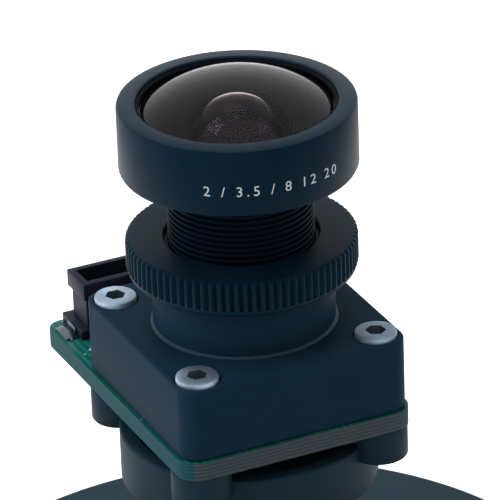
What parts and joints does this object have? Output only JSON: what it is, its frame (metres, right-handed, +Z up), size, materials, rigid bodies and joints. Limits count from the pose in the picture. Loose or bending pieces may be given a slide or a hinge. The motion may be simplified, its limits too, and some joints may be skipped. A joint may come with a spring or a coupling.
{
  "type": "camera module",
  "caption": "Board camera: threaded wide-angle lens with knurled lock ring in a square screwed holder, on a circuit board with an upright wire connector, round rear shell and round stand",
  "frame": {"origin": "on the lens axis, in the plane that the stand rests on", "axes": "+Z is up along the lens axis, -Y is the front of the board, and the connector is on the +Y side"},
  "size_m": [0.057, 0.057, 0.0536],
  "materials": {
    "stand": "satin",
    "steel": "satin",
    "shell": "satin",
    "board": "satin",
    "chip": "matte",
    "ferrite": "matte",
    "can": "satin",
    "ceramic_caps": "satin",
    "package": "matte",
    "die": "gloss",
    "clear_glass": "gloss",
    "filter_glass": "gloss",
    "front_glass": "gloss",
    "holder": "satin",
    "connector": "satin",
    "pins": "satin",
    "solder": "satin",
    "anodised": "satin"
  },
  "bodies": {
    "housing": {"stand": "stand", "stand_screw": "steel", "rear_shell": "shell", "circuit_board": "board", "processor_chip": "chip", "memory_chip": "chip", "regulator_chip": "chip", "power_inductor": "ferrite", "crystal": "can", "capacitors": "ceramic_caps", "signal_resistors": "chip", "sensor_package": "package", "sensor_die": "die", "sensor_cover": "clear_glass", "infrared_filter": "filter_glass", "lens_holder": "holder", "corner_screws": "steel", "connector_shell": "connector", "connector_pins": "pins", "connector_tabs": "solder"},
    "lens_stack": {"second_lens": "clear_glass", "front_spacer": "anodised", "third_lens": "clear_glass", "aperture_stop": "anodised", "fourth_lens": "clear_glass", "fifth_lens": "clear_glass", "rear_spacer": "anodised", "rear_lens": "clear_glass"},
    "barrel": {"lens_barrel": "anodised", "front_lens": "front_glass", "front_retaining_ring": "anodised", "rear_retaining_ring": "anodised"},
    "lock_ring": {"lock_ring": "anodised"}
  },
  "joints": [
    {"name": "lens_focus", "type": "slide", "parent": "housing", "child": "lens_stack", "axis": [0, 0, 1], "range_m": [-0.001, 0.001]},
    {"name": "lens_turn", "type": "hinge", "parent": "lens_stack", "child": "barrel", "pos_m": [0, 0, 0.04], "axis": [0, 0, 1], "range_deg": [-720, 720]},
    {"name": "lock_ring_turn", "type": "hinge", "parent": "housing", "child": "lock_ring", "pos_m": [0, 0, 0.0383], "axis": [0, 0, 1], "range_deg": [0, 360]}
  ],
  "couplings": [
    {"joint": "lens_focus", "follows": "lens_turn", "m_per_rad": 0.000079577}
  ]
}
